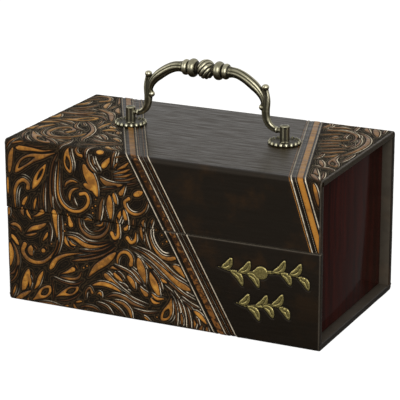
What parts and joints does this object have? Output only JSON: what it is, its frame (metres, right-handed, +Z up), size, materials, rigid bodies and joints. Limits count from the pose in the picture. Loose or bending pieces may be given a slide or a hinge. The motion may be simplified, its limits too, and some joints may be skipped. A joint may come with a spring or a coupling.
{
  "type": "etrog box",
  "caption": "Leather-wrapped box with a hinged lid, a front flap that folds out from it, polished wood ends and a cast bail handle.",
  "frame": {"origin": "under the middle of the base, on the surface that the box stands on", "axes": "+X along the box's length to the right as seen from the front, -Y towards the front flap, +Z up"},
  "size_m": [0.192, 0.11, 0.1392],
  "materials": {
    "embossed_leather": "embossed, painted in ochre and silver, satin lacquer",
    "greyboard": "raw pressed board",
    "mahogany": "dark red lacquer, high gloss",
    "plywood": "sanded",
    "velvet": "short pile",
    "antique_nickel": "cast, antiqued, rubbed bright on the high places",
    "steel": "zinc plated"
  },
  "bodies": {
    "case": {"case_cover": "embossed_leather", "base_board": "greyboard", "front_board": "greyboard", "back_board": "greyboard", "tray_floor": "plywood", "tray_left_end": "mahogany", "tray_right_end": "mahogany", "tray_front_wall": "plywood", "tray_back_wall": "plywood", "lining_left": "velvet", "lining_right": "velvet", "lining_front": "velvet", "lining_back": "velvet", "floor_cushion": "velvet", "wall_magnet_left": "steel", "wall_magnet_right": "steel"},
    "lid": {"lid_cover": "embossed_leather", "lid_board": "greyboard", "lid_fold": "embossed_leather", "lid_liner": "velvet", "left_rosette": "antique_nickel", "right_rosette": "antique_nickel", "left_post": "antique_nickel", "right_post": "antique_nickel", "left_screw": "steel", "right_screw": "steel", "left_washer": "steel", "right_washer": "steel"},
    "flap": {"flap_cover": "embossed_leather", "flap_board": "greyboard", "flap_fold": "embossed_leather", "flap_liner": "velvet", "flap_magnet_left": "steel", "flap_magnet_right": "steel"},
    "bail": {"bail": "antique_nickel"}
  },
  "joints": [
    {"name": "lid_hinge", "type": "hinge", "parent": "case", "child": "lid", "pos_m": [0, 0.05436, 0.09586], "axis": [-1, 0, 0], "range_deg": [0, 110], "deforming": ["lid_fold"]},
    {"name": "flap_hinge", "type": "hinge", "parent": "lid", "child": "flap", "pos_m": [0, -0.05436, 0.09586], "axis": [-1, 0, 0], "range_deg": [0, 100], "deforming": ["flap_fold"]},
    {"name": "bail_pivot", "type": "hinge", "parent": "lid", "child": "bail", "pos_m": [0.002, 0.0028, 0.1035], "axis": [1, 0, 0], "range_deg": [-90, 90]}
  ]
}
